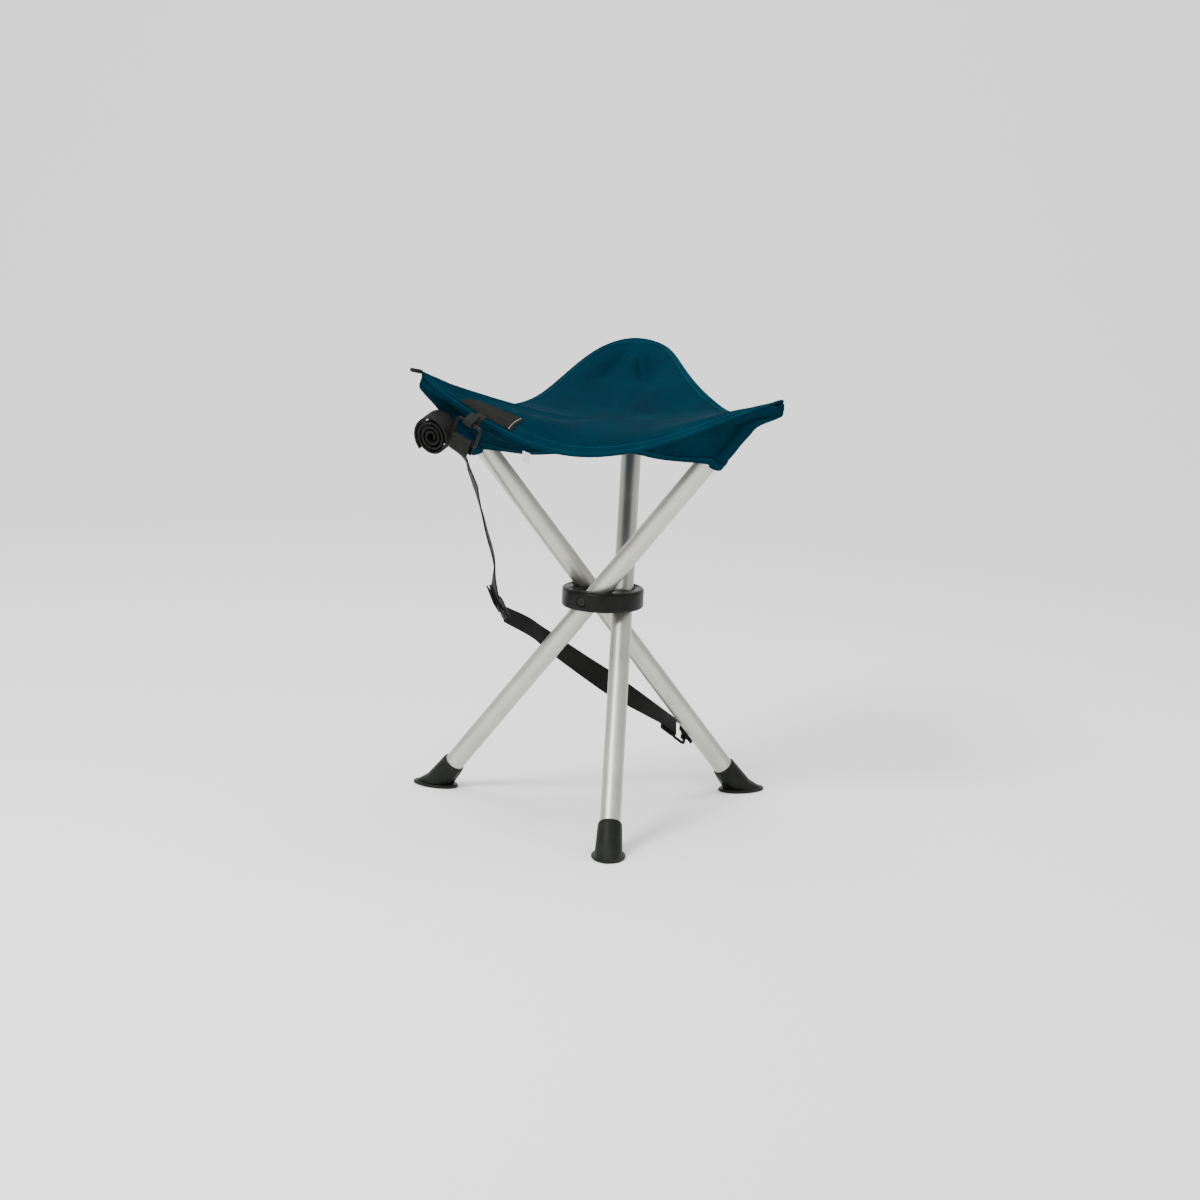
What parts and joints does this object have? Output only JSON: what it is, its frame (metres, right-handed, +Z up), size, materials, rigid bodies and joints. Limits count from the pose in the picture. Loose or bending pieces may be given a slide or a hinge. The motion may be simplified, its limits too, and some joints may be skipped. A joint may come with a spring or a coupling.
{
  "type": "three leg stool",
  "caption": "Folding tripod camp stool: a triangular cloth seat on splayed metal tubes that cross in a slotted round hub, with oval pad feet and a webbing carry strap.",
  "frame": {"origin": "middle of the base of the whole object's box, on the floor", "axes": "+Z up, -Y towards the leg whose foot stands at the front"},
  "size_m": [0.3584, 0.4062, 0.4514],
  "materials": {
    "anodised_tube": "satin anodised",
    "hub_plastic": "moulded satin",
    "ring_plastic": "moulded satin",
    "foot_rubber": "moulded matt",
    "blackened_steel": "blackened",
    "seat_cloth": "plain woven polyester",
    "label_cloth": "blank woven label",
    "tag_cloth": "smooth satin tape",
    "black_webbing": "ribbed webbing"
  },
  "bodies": {
    "hub": {"hub_ring": "hub_plastic", "pivot_pin_a": "blackened_steel", "pivot_pin_b": "blackened_steel", "pivot_pin_c": "blackened_steel", "seat_panel": "seat_cloth"},
    "leg_a": {"leg_tube_a": "anodised_tube", "end_plug_a": "hub_plastic", "foot_a": "foot_rubber", "seat_pocket_a": "seat_cloth", "seat_label": "label_cloth", "care_tag": "tag_cloth", "corner_tab": "black_webbing", "ring_tape": "black_webbing", "corner_ring": "ring_plastic", "closure_strap": "black_webbing", "strap_upper": "black_webbing", "strap_lower": "black_webbing", "anchor_lug": "ring_plastic", "anchor_rivet_upper": "blackened_steel", "anchor_rivet_lower": "blackened_steel"},
    "leg_b": {"leg_tube_b": "anodised_tube", "end_plug_b": "hub_plastic", "foot_b": "foot_rubber", "seat_pocket_b": "seat_cloth"},
    "leg_c": {"leg_tube_c": "anodised_tube", "end_plug_c": "hub_plastic", "foot_c": "foot_rubber", "seat_pocket_c": "seat_cloth"},
    "anchor_ring": {"anchor_ring": "ring_plastic"},
    "strap_slider": {"strap_slider": "ring_plastic"}
  },
  "joints": [
    {"name": "fold_a", "type": "hinge", "parent": "hub", "child": "leg_a", "pos_m": [0.0008, 0.01933, 0.2163], "axis": [-0.5, 0.866, 0], "range_deg": [0, 38], "deforming": ["seat_panel", "seat_pocket_a", "seat_pocket_b", "seat_pocket_c", "seat_label", "care_tag", "corner_tab", "ring_tape", "closure_strap", "strap_upper", "strap_lower"]},
    {"name": "fold_b", "type": "hinge", "parent": "hub", "child": "leg_b", "pos_m": [0.0008, -0.01513, 0.2163], "axis": [-0.5, -0.866, 0], "range_deg": [0, 38], "deforming": ["seat_panel", "seat_pocket_a", "seat_pocket_b", "seat_pocket_c", "seat_label", "care_tag", "corner_tab", "ring_tape", "closure_strap", "strap_upper", "strap_lower"]},
    {"name": "fold_c", "type": "hinge", "parent": "hub", "child": "leg_c", "pos_m": [0.03065, 0.0021, 0.2163], "axis": [1, 0, 0], "range_deg": [0, 38], "deforming": ["seat_panel", "seat_pocket_a", "seat_pocket_b", "seat_pocket_c", "seat_label", "care_tag", "corner_tab", "ring_tape", "closure_strap", "strap_upper", "strap_lower"]},
    {"name": "ring_swing", "type": "hinge", "parent": "leg_a", "child": "anchor_ring", "pos_m": [0.09581, 0.08338, 0.06099], "axis": [0.0288, -0.9302, -0.366], "range_deg": [-12, 50], "deforming": ["strap_lower"]},
    {"name": "slider_adjust", "type": "slide", "parent": "leg_a", "child": "strap_slider", "axis": [0.3332, 0.659, -0.6743], "range_m": [-0.012, 0.012], "deforming": ["strap_upper", "strap_lower"]}
  ],
  "couplings": [
    {"joint": "fold_b", "follows": "fold_a", "ratio": 1},
    {"joint": "fold_c", "follows": "fold_a", "ratio": 1}
  ]
}
